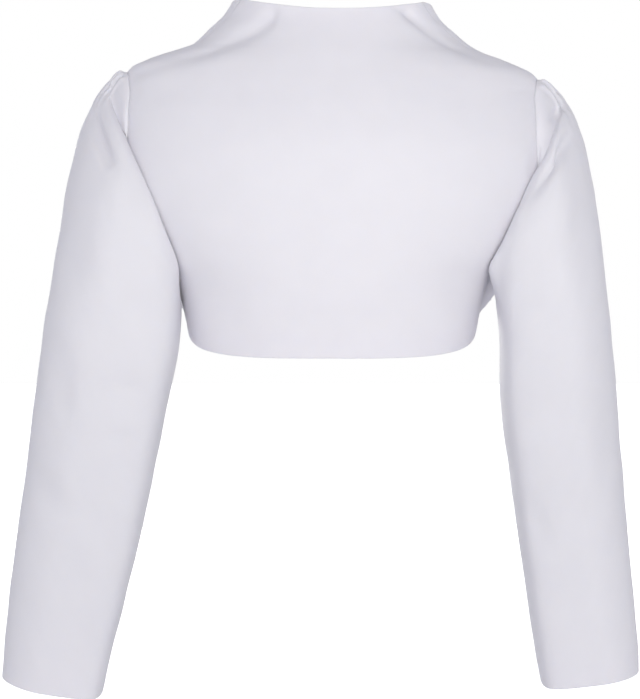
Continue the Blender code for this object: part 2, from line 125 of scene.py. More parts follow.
def smooth_loop(turns, values, at):
    """A closed curve in degrees through a table whose first and last rows are the same place."""
    turns = np.concatenate([turns[-3:-1] - 360, turns, turns[1:3] + 360])
    values = np.concatenate([values[-3:-1], values, values[1:3]])
    at = np.mod(at, 360)
    i = np.clip(np.searchsorted(turns, at, side="right") - 1, 1, len(turns) - 3)
    slope = (values[2:] - values[:-2]) / (turns[2:] - turns[:-2])
    step = turns[i + 1] - turns[i]
    return hermite(
        values[i], slope[i - 1] * step, values[i + 1], slope[i] * step, (at - turns[i]) / step
    )


print("half a step along a curve:", curve(*np.array([[0, 1, 2], [0, 1, 4]]), np.array([0.5])))

# %% Small helpers on whole arrays
WAVES = 14  # in one uneven field
RANDOM_VALUES = 4096  # in one uneven line


def unit(vectors):
    """Each vector over its own length."""
    return vectors / np.linalg.norm(vectors, axis=-1, keepdims=True)


def smooth_step(x, start, end):
    """0 before start and 1 after end, with a soft S between: 3 t squared less 2 t cubed."""
    t = np.clip((x - start) / (end - start), 0, 1)
    return t * t * (3 - 2 * t)


def bump(x, width):
    """A bell: e to the minus (x over width) squared."""
    return np.exp(-((x / width) ** 2))


def uneven(x, size, seed):
    """A line that wavers between -1 and 1 at random, with a new value every size metres."""
    values = np.random.default_rng(seed).uniform(-1, 1, RANDOM_VALUES)
    cell = np.floor(x / size).astype(int)
    t = smooth_step(x / size - cell, 0, 1)
    return (1 - t) * values[cell % RANDOM_VALUES] + t * values[(cell + 1) % RANDOM_VALUES]


def waver(x, y, size, seed):
    """An uneven field of about -1 to 1: a sum of random sine waves of about that size, over the
    square root of their number."""
    rng = np.random.default_rng(seed)
    way, length = rng.uniform(0, np.pi, WAVES), size * rng.uniform(0.7, 1.6, WAVES)
    start, lift = rng.uniform(0, 2 * np.pi, WAVES), np.zeros(np.broadcast(x, y).shape)
    for a, l, s in zip(way, length, start):
        lift = lift + np.sin(2 * np.pi * (x * np.cos(a) + y * np.sin(a)) / l + s)
    return lift / np.sqrt(WAVES)


# %% [markdown]
# ## The figure inside
#
# The cloth follows a plain figure: level sections that are wide at the shoulders and narrow at the
# neck and under the bust. Each section is a superellipse, a squared-off ellipse, given by its half
# width, its depth behind and in front, and how square it is. The table is the one that the solids
# use, so that cloth and solids stay together. Angles run from the centre back (0) past the side
# (90) to the centre front (180). Both sides are built on the wearer's left, and the right one is
# mirrored at the end.

# %% Measures of the figure
SIDE = 90.0
BODY = table(
    "height back_width front_width back_depth front_depth squareness",
    (-0.290, 0.1290, 0.1290, 0.0890, 0.0850, 2.4),
    (-0.252, 0.1340, 0.1340, 0.0930, 0.0910, 2.4),
    (-0.233, 0.1373, 0.1373, 0.0960, 0.0980, 2.4),
    (-0.216, 0.1410, 0.1410, 0.0990, 0.1060, 2.4),
    (-0.195, 0.1480, 0.1475, 0.1010, 0.1120, 2.6),
    (-0.176, 0.1615, 0.1575, 0.1025, 0.1160, 2.7),
    (-0.158, 0.1750, 0.1660, 0.1035, 0.1160, 2.7),
    (-0.120, 0.1950, 0.1800, 0.1045, 0.1100, 2.6),
    (-0.083, 0.2040, 0.1870, 0.1030, 0.1000, 2.45),
    (-0.045, 0.2030, 0.1900, 0.0960, 0.0880, 2.3),
    (-0.0245, 0.1990, 0.1935, 0.0895, 0.0806, 2.20),
    (-0.0135, 0.1970, 0.1945, 0.0855, 0.0765, 2.15),
    (-0.0045, 0.1930, 0.1930, 0.0818, 0.0735, 2.11),
    (0.0010, 0.1880, 0.1880, 0.0797, 0.0717, 2.085),
    (0.0070, 0.1765, 0.1765, 0.0774, 0.0701, 2.06),
    (0.0135, 0.1605, 0.1605, 0.0747, 0.0681, 2.035),
    (0.0205, 0.1400, 0.1400, 0.0717, 0.0656, 2.015),
    (0.0280, 0.1270, 0.1270, 0.0685, 0.0635, 2.0),
    (0.0380, 0.1155, 0.1155, 0.0645, 0.0615, 2.0),
    (0.0500, 0.1025, 0.1025, 0.0605, 0.0605, 2.0),
    (0.0660, 0.0925, 0.0925, 0.0575, 0.0610, 2.0),
)
BUST_EASE = {LEFT: 0.0165, RIGHT: 0.0215}
BUST_ANGLE, BUST_SPREAD = 109.0, 13.0
BUST_HEIGHT, BUST_RISE = -0.1970, 0.0310
LEAN, LEAN_FROM, LEAN_TO = 0.018, -0.214, -0.064

# Drag folds run from the stand of the neck out over the shoulders. The first one on the left
# starts a little lower than the solid's, and is wider and deeper.
DRAGS = both_sides("angle_a height_a angle_b height_b spread depth", [
    (49.0, 0.041, 66.0, 0.011, 0.0100, -0.0052),
    (66.0, 0.011, 79.0, -0.007, 0.0070, -0.0024),
    (84.0, 0.030, 93.0, 0.008, 0.0075, -0.0075),
], [
    (60.0, 0.050, 72.0, 0.014, 0.0080, -0.0038),
    (52.0, 0.058, 76.0, 0.032, 0.0070, -0.0016),
])
PER_DEGREE = 0.0018  # along the cloth to a degree round the neck and shoulders
ANGLE_STEP, HEIGHT_STEP = 0.1, 0.0002  # to measure the figure's slopes
print("sections of the figure:", len(BODY["height"]))

# %% The figure as a surface
def drags(angle, height, side):
    """Soft troughs and ridges: depth times a bell of the distance to a short line."""
    lift = np.zeros(angle.shape)
    for angle_a, height_a, angle_b, height_b, spread, depth in zip(*DRAGS[side].values()):
        run, rise = (angle_b - angle_a) * PER_DEGREE, height_b - height_a
        across, up = (angle - angle_a) * PER_DEGREE, height - height_a
        along = np.clip((across * run + up * rise) / (run**2 + rise**2), 0, 1)
        away = np.hypot(across - along * run, up - along * rise)
        lift = lift + depth * bump(away, spread)
    return lift


def body(angle, height, side):
    """A point of the figure. Its distance r from the axis solves the superellipse
    |r sin / width| to the power p plus |r cos / depth| to the power p is 1."""
    angle, height = np.broadcast_arrays(angle, height)
    behind = angle <= SIDE
    column = read(BODY, "height", height)
    width = np.where(behind, column["back_width"], column["front_width"])
    depth = np.where(behind, column["back_depth"], column["front_depth"])
    power = column["squareness"]
    sine, cosine = np.sin(np.radians(angle)), np.cos(np.radians(angle))
    radius = ((np.abs(sine) / width) ** power + (np.abs(cosine) / depth) ** power) ** (-1 / power)
    bust = bump(angle - BUST_ANGLE, BUST_SPREAD) * bump(height - BUST_HEIGHT, BUST_RISE)
    radius = radius + BUST_EASE[side] * bust * np.clip((angle - SIDE) / BUST_SPREAD, 0, 1)
    radius = radius + drags(angle, height, side)
    return np.stack([radius * sine, radius * cosine, height], axis=-1)


def body_normal(angle, height, side):
    """The way out of the figure: across its slopes along the angle and along the height."""
    turned, raised = ANGLE_STEP, HEIGHT_STEP
    along_angle = body(angle + turned, height, side) - body(angle - turned, height, side)
    along_height = body(angle, height + raised, side) - body(angle, height - raised, side)
    return unit(np.cross(along_height, along_angle))


def leant(points):
    """The worn jacket sits higher on the left shoulder: z rises with x in its upper part."""
    points = points.copy()
    points[..., 2] += LEAN * points[..., 0] * smooth_step(points[..., 2], LEAN_FROM, LEAN_TO)
    return points


print("the figure is at its widest", round(2000 * BODY["back_width"].max()), "mm across")

# %% [markdown]
# ## Where the pieces meet
#
# The armhole is the loop at which a sleeve is set in. It runs from the shoulder tip down round the
# arm to the underarm and back. A turn of 0 is the tip, 90 the middle of the back and 180 the
# underarm. Every panel ends on the same three lines, one after the other: up the side seam, round
# half of the armhole and up the shoulder seam.

# %% The seam lines
HEM_BACK, HEM_SIDE, NECK_BACK = -0.2693, -0.2400, 0.0540
ARMHOLE_TOP, UNDERARM, ARMHOLE_BACK, ARMHOLE_FRONT = -0.0045, -0.1950, 14.3, 15.5
SEAM_TURN = 8.0  # of the sleeve, at which the shoulder seam meets it
HOLE_PER_DEGREE = 0.0025  # along the cloth to a degree at the armhole
SIDE_ROWS, ARMHOLE_ROWS, SHOULDER_ROWS = 18, 96, 50
FINE_TURNS = 2000  # along the armhole, to find even steps on it
SHOULDER_SEAM = table(
    "share angle height",
    (0.00, 88.0, -0.0045),
    (0.25, 83.0, 0.0050),
    (0.50, 80.5, 0.0170),
    (0.75, 79.0, 0.0360),
    (1.00, 74.5, 0.0650),
)
FRONT_EDGE = table(
    "share angle height",
    (0.00, 118.0, -0.1990),
    (0.14, 130.0, -0.1740),
    (0.31, 141.0, -0.1390),
    (0.48, 149.0, -0.0950),
    (0.66, 153.5, -0.0450),
    (0.83, 154.0, 0.0000),
    (1.00, 151.0, 0.0380),
)


def armhole(turn):
    """The armhole as an angle and a height: a sine across, and a cosine down from the seam."""
    turn = np.radians(turn)
    opening = np.where(np.sin(turn) > 0, ARMHOLE_BACK, ARMHOLE_FRONT)
    past_top = turn - np.radians(SEAM_TURN) * (1 + np.cos(turn)) / 2
    height = ARMHOLE_TOP + (UNDERARM - ARMHOLE_TOP) * (1 - np.cos(past_top)) / 2
    return SIDE - opening * np.sin(turn), height


def length_along(angle, height):
    """The length up to each point of a line on the figure: the sum of the steps before it."""
    steps = np.hypot(np.diff(height), HOLE_PER_DEGREE * np.diff(angle))
    return np.concatenate([[0], np.cumsum(steps)])


def panel_edge(front):
    """The ends of a panel's rows, as angles, heights and each row's share of the whole length."""
    side_seam = np.linspace(HEM_SIDE, UNDERARM, SIDE_ROWS)[:-1]
    turns = np.linspace(-180 if front else 180, SEAM_TURN, FINE_TURNS)
    length = length_along(*armhole(turns))
    even = np.interp(np.linspace(0, length[-1], ARMHOLE_ROWS), length, turns)
    hole_angle, hole_height = armhole(even)
    share = np.linspace(0, 1, SHOULDER_ROWS)[1:]
    top = read(SHOULDER_SEAM, "share", share)
    angle = np.concatenate([np.full(len(side_seam), SIDE), hole_angle, top["angle"]])
    height = np.concatenate([side_seam, hole_height, top["height"]])
    length = length_along(angle, height)
    return angle, height, length / length[-1]


print("rows in a panel:", len(panel_edge(front=False)[0]))

# %% [markdown]
# ## A wall of cloth
#
# Duchess satin is thick for a silk cloth, and here it has a backing. Its wall is made from the
# grid of its right side: the wrong side is the same grid moved in by the thickness. Close to an
# edge both come together along half a circle, as a turned edge does. A hem and a seam allowance
# are cloth folded back inside, so the wall is thicker there on its inner side and the fold shows
# when one looks into the jacket.

# %% Measures of the cloth
CLOTH = 0.0014  # the satin with its backing
TURNED = 0.0009  # what a hem or a seam allowance adds to it inside
HEM_TURNED, SEAM_TURNED = 0.022, 0.011  # how wide those are
RAW_EDGE = 0.0008  # half the width over which they end
VALLEY = 0.0008, 0.0024  # between the stitches and a pressed seam allowance
SEAM_ROLL = 0.0003  # how far the cloth sinks towards a seam
SEAM_ROLL_WIDTH = 0.0024
BEND = 0.0005  # the radius at which it then turns in to the stitches
STITCHED = np.array([0.0006, 0.0014])  # and how far in it goes from there
SEAM_GAP = 0.0001  # left between the two sides of a seam
RIM = np.array([0.0, 0.134, 0.5, 1.0])  # steps towards a turned edge, in edge radii: 1 - cos
RIM_FULL = np.array([0.0, 0.5, 0.866, 1.0])  # and the wall's fullness there: sin
print("wall:", 1000 * CLOTH, "mm, and at a hem", round(1000 * (CLOTH + TURNED), 1), "mm")

# %% Distances along the cloth
def walked(grid, axis):
    """How far each point lies along its row or column: the sum of the steps up to it."""
    steps = np.linalg.norm(np.diff(grid, axis=axis), axis=-1)
    start = np.zeros_like(np.take(steps, [0], axis=axis))
    return np.concatenate([start, np.cumsum(steps, axis=axis)], axis=axis)


def slope(grid, axis, ring=False):
    """Which way a grid runs at each point: the mean of the unit steps before and after it."""
    steps = unit(np.diff(grid, axis=axis))
    first, last = np.take(steps, [0], axis=axis), np.take(steps, [-1], axis=axis)
    before = np.concatenate([last if ring else first, steps], axis=axis)
    after = np.concatenate([steps, first if ring else last], axis=axis)
    return unit(before + after)


def outward(grid, ring=False):
    """Unit normals of a grid: its slope down the columns across its slope along the rows."""
    return unit(np.cross(slope(grid, 0), slope(grid, 1, ring)))


# %% Turned edges
def with_rim(fields, axis):
    """Adds points near both ends of an axis, at the steps of RIM from the edge. Every field, the
    position first, is a straight mix of the edge and its neighbour."""
    fields = np.moveaxis(fields, axis, 0)
    ends = []
    for edge, next_one in ((fields[0], fields[1]), (fields[-1], fields[-2])):
        gap = np.linalg.norm(next_one[..., :3] - edge[..., :3], axis=-1, keepdims=True)
        steps = RIM[:, None, None]
        share = np.minimum(steps * CLOTH / 2 / np.maximum(gap, 1e-6), steps * 0.9)
        ends.append(edge + share * (next_one - edge))
    fields = np.concatenate([ends[0], fields[1:-1], ends[1][::-1]])
    full = np.concatenate([RIM_FULL, np.ones(len(fields) - 2 * len(RIM)), RIM_FULL[::-1]])
    return np.moveaxis(fields, 0, axis), full


# %% A sewn edge
def turned_to_stitches(grid, way):
    """Adds columns after the last, where the cloth turns in to the seam: a quarter circle of
    radius BEND from its own plane to straight in, then on to the stitches."""
    edge, way = grid[:, -1], way[:, -1]
    out = unit(np.cross(slope(edge, 0), way))
    out = out * np.sign(np.sum(out * (edge - grid[:, -4])))
    edge = edge - out * SEAM_GAP / 2
    turn = np.radians([0, 30, 60, 90])[:, None, None]
    bent = edge - out * BEND * (1 - np.sin(turn)) - way * BEND * (1 - np.cos(turn))
    straight = edge - way * (BEND + STITCHED[:, None, None])
    added = np.moveaxis(np.concatenate([bent, straight]), 0, 1)
    return np.concatenate([grid[:, :-1], added], axis=1)


def thinner(thickness, distance):
    """The cloth's thickness with its part that is turned in to the stitches: half there."""
    return np.where(distance < 0, CLOTH / 2, thickness)


# %% The wall as a mesh
def wall(name, outer, inside, uv, side=LEFT, ring=False):
    """A closed wall of cloth: outer points, the thickness at each and the place on the cloth."""
    fields = np.concatenate([outer, outward(outer, ring), inside[..., None], uv], axis=-1)
    fields, full_rows = with_rim(fields, 0)
    full = full_rows[:, None] * np.ones(fields.shape[1])
    if not ring:
        fields, full_columns = with_rim(fields, 1)
        full = full_rows[:, None] * full_columns
    outer, way, inside, uv = np.split(fields, (3, 6, 7), axis=-1)
    way, full = unit(way), full[..., None]
    mirror = np.array([side, 1.0, 1.0])
    skin = leant((outer - way * CLOTH / 2 * (1 - full)) * mirror)
    lining = leant((outer - way * (CLOTH / 2 + (inside - CLOTH / 2) * full)) * mirror)
    rows, columns = full.shape[:2]
    if ring:
        skin, lining = skin[:, :-1], lining[:, :-1]
    index = np.arange(rows * skin.shape[1]).reshape(rows, -1)
    edge = np.zeros(index.shape, bool)
    edge[[0, -1]] = True
    if not ring:
        edge[:, [0, -1]] = True
    below = np.where(edge, index, index.size + np.cumsum(~edge).reshape(edge.shape) - 1)
    if ring:
        index, below = (np.concatenate([i, i[:, :1]], axis=1) for i in (index, below))
    points = np.concatenate([skin.reshape(-1, 3), lining[~edge]])
    return mesh_piece(name, points, index, below, uv, flipped=side == LEFT)


def mesh_piece(name, points, index, below, uv, flipped):
    """Faces between neighbours of both grids, the inner ones turned over, with the cloth's UVs."""
    def corners(grid):
        return np.stack([grid[:-1, :-1], grid[:-1, 1:], grid[1:, 1:], grid[1:, :-1]], axis=2)

    outer, inner = corners(index).reshape(-1, 4), corners(below).reshape(-1, 4)
    place = corners(uv).reshape(-1, 4, 2)
    faces = np.concatenate([outer, inner[:, ::-1]])
    places = np.concatenate([place, place[:, ::-1]])
    if flipped:
        faces, places = faces[:, ::-1], places[:, ::-1]
    mesh = bpy.data.meshes.new(name)
    mesh.from_pydata(points.tolist(), [], faces.tolist())
    mesh.uv_layers.new(name="cloth").data.foreach_set("uv", places.ravel())
    mesh.shade_smooth()
    piece = bpy.data.objects.new(name, mesh)
    bpy.context.scene.collection.objects.link(piece)
    print(name, "has", 2 * len(faces), "triangles")
    return piece


# %% [markdown]
# ## Folds
#
# Satin is stiff and takes few, soft folds. Each is drawn along a bent line of three points as seen
# from behind, x outwards and z up, with a width and a depth: below 0 a trough, above 0 a ridge.
# Both fade in and out along the line, and a slow waver keeps any two from being alike.

# %% A fold along a bent line
FOLD = "x_a z_a x_m z_m x_b z_b spread depth"
BENDS = 13  # points on the bent line
FAR = 9.0  # beyond any point of the jacket
END_FADE = 0.7  # the power of the sine that fades a fold in and out
UNEVEN_SPREAD, UNEVEN_SHARE = 0.25, 0.35  # how much its width wavers, and over what share of it


def folds(x, z, rows, seed):
    """The cloth's lift: depth times a bell of the distance to a bent line, faded at its ends."""
    lift = np.zeros(np.broadcast(x, z).shape)
    t = np.linspace(0, 1, BENDS)
    for number, (x_a, z_a, x_m, z_m, x_b, z_b, spread, depth) in enumerate(zip(*rows.values())):
        line_x = (1 - t) ** 2 * x_a + 2 * t * (1 - t) * x_m + t**2 * x_b
        line_z = (1 - t) ** 2 * z_a + 2 * t * (1 - t) * z_m + t**2 * z_b
        best, place = np.full(lift.shape, FAR), np.zeros(lift.shape)
        for i in range(len(t) - 1):
            run, rise = line_x[i + 1] - line_x[i], line_z[i + 1] - line_z[i]
            along = ((x - line_x[i]) * run + (z - line_z[i]) * rise) / (run**2 + rise**2)
            along = np.clip(along, 0, 1)
            away = np.hypot(x - line_x[i] - along * run, z - line_z[i] - along * rise)
            place = np.where(away < best, (i + along) / (len(t) - 1), place)
            best = np.minimum(away, best)
        fade = np.sin(np.pi * np.clip(place, 0.02, 0.98)) ** END_FADE
        wide = spread * (1 + UNEVEN_SPREAD * uneven(place, UNEVEN_SHARE, seed + number))
        lift = lift + depth * fade * bump(best, wide)
    return lift


print("columns in a table of folds:", FOLD)

# %% What stitching does to the cloth
PUCKER = 0.00035  # the height of the puckers that the thread draws
PUCKER_SIZES = 0.0065, 0.0031  # their lengths along the seam
PUCKER_REACH, PUCKER_CALM = 0.006, 0.0012  # how far out they go, and how close in they start
CALM = 0.001, 0.012  # where the folds of a panel begin, out from its seam


def sewn(distance, along, seed):
    """At a seam the cloth rolls in, and the thread draws uneven puckers that die out beside it."""
    large, small = (uneven(along, size, seed + i) for i, size in enumerate(PUCKER_SIZES))
    roll = -SEAM_ROLL * bump(distance, SEAM_ROLL_WIDTH)
    fade = np.exp(-distance / PUCKER_REACH) * (1 - 0.7 * bump(distance, PUCKER_CALM))
    return roll + PUCKER * (large + 0.6 * small) * fade


def turned_in(distance, width):
    """The extra thickness of cloth folded back inside, out to a width from the edge."""
    return TURNED * (1 - smooth_step(distance, width - RAW_EDGE, width + RAW_EDGE))


def pressed_open(distance):
    """The same for a seam allowance, which leaves a narrow valley along the stitches."""
    return turned_in(distance, SEAM_TURNED) * smooth_step(distance, *VALLEY)


# %% [markdown]
# ## The back
#
# One piece from side seam to side seam, without a seam down its middle. Its rows run from the hem
# up to the neck and its columns from the wearer's right to the left. The hem and the top of the
# stand are nearly level across the back and sweep up to the sides. The stand drags the cloth over
# each shoulder, and the weight below the shoulder blades leaves faint level folds.

# %% Folds of the back
BACK_FOLDS = table(
    FOLD,
    (0.128, -0.136, 0.090, -0.146, 0.045, -0.140, 0.012, -0.0007),
    (-0.060, -0.118, -0.100, -0.128, -0.132, -0.112, 0.012, -0.0007),
    (0.118, -0.196, 0.104, -0.226, 0.080, -0.252, 0.014, -0.0012),
    (-0.124, -0.170, -0.120, -0.212, -0.100, -0.250, 0.016, -0.0014),
    (-0.194, -0.008, -0.182, -0.018, -0.162, -0.020, 0.0045, -0.0014),
    (-0.198, -0.018, -0.187, -0.034, -0.172, -0.046, 0.0045, -0.0012),
    (-0.200, -0.074, -0.190, -0.090, -0.176, -0.100, 0.0080, -0.0012),
    (0.190, -0.050, 0.168, -0.040, 0.150, -0.030, 0.007, -0.0006),
)
HEM_SWEEP, NECK_SWEEP = 4.4, 2.3
BACK_WAVER, BACK_WAVER_SIZE = 0.00022, 0.055  # how uneven the plain cloth is

# At the centre back the rows lie so that none meets a sewn edge flat.
BACK_ROWS = table(
    "share middle",
    (0.00, HEM_BACK),
    (0.13, -0.2250),
    (0.45, -0.1120),
    (0.77, 0.0130),
    (1.00, NECK_BACK),
)
print("folds of the back:", len(BACK_FOLDS["depth"]))

# %% Half of the back as a grid
BACK_COLUMNS, BACK_REACH = 114, 0.19  # how many, over about how many metres
BESIDE_SEAM = np.array([0.0008, 0.0016, 0.0027, 0.0042])
EVEN_UP_TO = 0.006  # from the seam


def seam_spacing(steps, width):
    """Shares from 0 to 1 in even steps, with a few more beside the seam at 1."""
    beside = BESIDE_SEAM / width
    even = np.linspace(0, 1, steps)
    even = even[even < 1 - EVEN_UP_TO / width]
    return np.concatenate([even, 1 - beside[::-1], [1]])


def back_half(side):
    """Rows from the hem to the neck, columns from the centre to the seams."""
    end_angle, end_height, share = (x[:, None] for x in panel_edge(front=False))
    middle = read(BACK_ROWS, "share", share)["middle"]
    sweep = HEM_SWEEP + (NECK_SWEEP - HEM_SWEEP) * share
    u = seam_spacing(BACK_COLUMNS, BACK_REACH)[None, :]
    height = middle + (end_height - middle) * u**sweep
    return body(end_angle * u, height, side) * (side, 1, 1)


print("half of the back has rows, columns:", back_half(LEFT).shape[:2])

# %% The back piece
def make_back():
    """The two halves joined, with folds, puckers at the seams and allowances inside."""
    plain = np.concatenate([back_half(RIGHT)[:, :0:-1], back_half(LEFT)], axis=1)
    across, up = walked(plain, 1), walked(plain, 0)
    to_right, to_left = across, across[:, -1:] - across
    x, z = plain[..., 0], plain[..., 2]
    lift = folds(x, z, BACK_FOLDS, 10) + BACK_WAVER * waver(x, z, BACK_WAVER_SIZE, 11)
    lift = lift * smooth_step(np.minimum(to_right, to_left), *CALM)
    lift = lift + sewn(to_right, up[:, :1], 12) + sewn(to_left, up[:, -1:], 14)
    outer = plain + outward(plain) * lift[..., None]
    outer = turned_to_stitches(outer, outward(outer))
    outer = turned_to_stitches(outer[:, ::-1], outward(outer)[:, ::-1])[:, ::-1]
    across, up = walked(outer, 1), walked(outer, 0)
    extra = BEND * np.pi / 2 + STITCHED[-1]
    to_side = np.minimum(across, across[:, -1:] - across) - extra
    hems = turned_in(np.minimum(up, up[-1:] - up), HEM_TURNED)
    inside = thinner(CLOTH + np.maximum(hems, pressed_open(to_side)), to_side)
    middle = across[:, across.shape[1] // 2, None]
    return wall("satin_back", outer, inside, np.stack([across - middle, up], axis=-1))


cloth_pieces = {"back": make_back()}

# %% [markdown]
# ## The fronts
#
# Each front is cut away from under the bust in one long curve up to the neck, and its half of the
# stand is cut in one with it. The photograph shows little of them, so they are finished plainly,
# with the same kinds of folds as the back.

# %% Folds of the fronts
FRONT_FOLDS = both_sides(FOLD, [
    (0.146, 0.006, 0.118, -0.030, 0.102, -0.078, 0.012, -0.0014),
    (0.186, -0.110, 0.160, -0.132, 0.126, -0.140, 0.010, -0.0012),
    (0.150, -0.196, 0.128, -0.176, 0.100, -0.158, 0.009, 0.0009),
], [
    (0.150, 0.002, 0.124, -0.036, 0.112, -0.088, 0.012, -0.0014),
    (0.184, -0.120, 0.156, -0.138, 0.120, -0.150, 0.010, -0.0012),
    (0.148, -0.202, 0.124, -0.186, 0.096, -0.160, 0.009, 0.0009),
])
print("folds of a front:", len(FRONT_FOLDS[LEFT]["depth"]))

# %% A front as a grid
FRONT_COLUMNS, FRONT_REACH = 76, 0.13
FRONT_WAVER, FRONT_WAVER_SIZE = 0.0003, 0.05

# How far each row swells up or down on its way to the free edge.
FRONT_ROWS = table(
    "share swell",
    (0.00, 0.0410),
    (0.13, -0.0500),
    (0.45, 0.0000),
    (0.77, 0.0450),
    (1.00, 0.0000),
)


def front_grid(side):
    """Rows from the hem to the neck, columns from the side to the free edge."""
    end_angle, end_height, share = (x[:, None] for x in panel_edge(front=True))
    edge = read(FRONT_EDGE, "share", share)
    u = 1 - seam_spacing(FRONT_COLUMNS, FRONT_REACH)[None, ::-1]
    angle = end_angle + (edge["angle"] - end_angle) * u
    swell = read(FRONT_ROWS, "share", share)["swell"]
    height = end_height + (edge["height"] - end_height) * u**2 + swell * u * (1 - u)
    return body(angle, height, side)


print("a front has rows, columns:", front_grid(LEFT).shape[:2])

# %% The two front pieces
def make_front(name, side):
    """A front with folds, puckers at its sewn side and a hem turned in at its free edge."""
    plain = front_grid(side)
    across, up = walked(plain, 1), walked(plain, 0)
    x, z = plain[..., 0], plain[..., 2]
    lift = folds(x, z, FRONT_FOLDS[side], 20 + side)
    lift = lift + FRONT_WAVER * waver(x, z, FRONT_WAVER_SIZE, 24 + side)
    lift = lift * smooth_step(across, *CALM) + sewn(across, up[:, :1], 30 + side)
    outer = plain + outward(plain) * lift[..., None]
    outer = turned_to_stitches(outer[:, ::-1], outward(outer)[:, ::-1])[:, ::-1]
    across, up = walked(outer, 1), walked(outer, 0)
    to_side = across - BEND * np.pi / 2 - STITCHED[-1]
    hems = np.minimum(np.minimum(up, up[-1:] - up), across[:, -1:] - across)
    inside = CLOTH + np.maximum(turned_in(hems, HEM_TURNED), pressed_open(to_side))
    uv = np.stack([across, up], axis=-1)
    return wall(name, outer, thinner(inside, to_side), uv, side=side)


for node_name, side in (("front_left", LEFT), ("front_right", RIGHT)):
    cloth_pieces[node_name] = make_front("satin_" + node_name, side)

# %% [markdown]
# ## The sleeves
#
# A set-in sleeve is eased into the armhole, so its head is fuller than the hole and rolls out over
# the seam. Below the shoulder the roll lies as a long slanting fold over the back. The table gives
# that roll: where it lies at each turn, which way the cloth goes there, and at what angle it left
# the seam. From the roll the cloth falls to the first of a row of sections across the arm.

# %% The roll at the sleeve head
ROLL = table(
    "turn left_x right_x y height way_x way_y way_z lift",
    (0, 0.2080, 0.2095, 0.0000, -0.0120, 0.78, 0.00, -0.62, 60),
    (20, 0.2085, 0.2110, 0.0130, -0.0225, 0.55, 0.55, -0.60, 60),
    (40, 0.2050, 0.2105, 0.0270, -0.0390, 0.10, 0.95, -0.30, 65),
    (65, 0.1910, 0.2020, 0.0490, -0.0680, 0.00, 1.00, 0.00, 60),
    (90, 0.1750, 0.1850, 0.0610, -0.1000, 0.00, 1.00, 0.00, 50),
    (115, 0.1595, 0.1690, 0.0670, -0.1330, 0.00, 1.00, 0.00, 45),
    (140, 0.1450, 0.1525, 0.0640, -0.1680, 0.00, 1.00, -0.10, 45),
    (152, 0.1410, 0.1445, 0.0590, -0.1830, 0.00, 0.90, -0.40, 48),
    (163, 0.1430, 0.1455, 0.0460, -0.1900, 0.10, 0.60, -0.80, 50),
    (180, 0.1560, 0.1570, 0.0100, -0.1885, 0.50, 0.10, -0.85, 45),
    (205, 0.1625, 0.1625, -0.0200, -0.1840, 0.60, -0.20, -0.75, 45),
    (230, 0.1690, 0.1680, -0.0420, -0.1600, 0.70, -0.30, -0.60, 50),
    (270, 0.1860, 0.1850, -0.0580, -0.1000, 0.80, -0.30, -0.50, 50),
    (310, 0.2010, 0.2010, -0.0400, -0.0460, 0.80, -0.20, -0.55, 55),
    (340, 0.2065, 0.2070, -0.0160, -0.0180, 0.78, -0.08, -0.62, 60),
    (360, 0.2080, 0.2095, 0.0000, -0.0120, 0.78, 0.00, -0.62, 60),
)
ROLL_OUT, ROLL_DOWN = 0.73, 0.58  # how straight the cloth leaves it and reaches the tube
CLEAR_OF_BODY, CLEAR_SOFTNESS = 0.0022, 0.0006
CLEAR_REACH, PUSH_REACH = 0.5, 0.3  # by where the sleeve is that clear, and may be pushed
print("places on the roll:", len(ROLL["turn"]))

# %% Sections across the arms
ARM = both_sides("height x y half_width half_depth", [
    (-0.214, 0.2015, 0.0260, 0.0618, 0.0570),
    (-0.252, 0.2062, 0.0240, 0.0636, 0.0565),
    (-0.308, 0.2157, 0.0190, 0.0616, 0.0545),
    (-0.365, 0.2254, 0.0120, 0.0597, 0.0515),
    (-0.421, 0.2355, 0.0040, 0.0577, 0.0485),
    (-0.478, 0.2467, -0.0050, 0.0549, 0.0455),
    (-0.534, 0.2577, -0.0150, 0.0511, 0.0430),
    (-0.577, 0.2647, -0.0234, 0.0482, 0.0405),
], [
    (-0.214, 0.2045, 0.0260, 0.0515, 0.0620),
    (-0.252, 0.2085, 0.0240, 0.0522, 0.0615),
    (-0.308, 0.2116, 0.0190, 0.0543, 0.0595),
    (-0.365, 0.2180, 0.0120, 0.0528, 0.0570),
    (-0.421, 0.2245, 0.0050, 0.0515, 0.0535),
    (-0.478, 0.2318, -0.0010, 0.0500, 0.0500),
    (-0.534, 0.2390, -0.0062, 0.0486, 0.0462),
    (-0.569, 0.2432, -0.0105, 0.0467, 0.0435),
])
UNDERARM_TWIST = 16.0  # the seam under the arm lies this many degrees further round
PRESSED, PRESSED_AT, PRESSED_SPREAD = 1.6, 140.0, 45.0  # the inner back of a sleeve is squarer
ARM_STEP = 0.02  # of the tube's length, to measure which way the arm goes
TURN_STEP = 0.5  # in degrees, to measure which way the armhole goes
print("sections of a sleeve:", len(ARM[LEFT]["height"]))

# %% The sleeve's three stretches
def seam(turn, side):
    """The armhole, the way out of the body there, and the way out of the panel across its edge."""
    after, before = body(*armhole(turn + TURN_STEP), side), body(*armhole(turn - TURN_STEP), side)
    way_up = body_normal(*armhole(turn), side)
    return body(*armhole(turn), side), way_up, unit(np.cross(after - before, way_up))


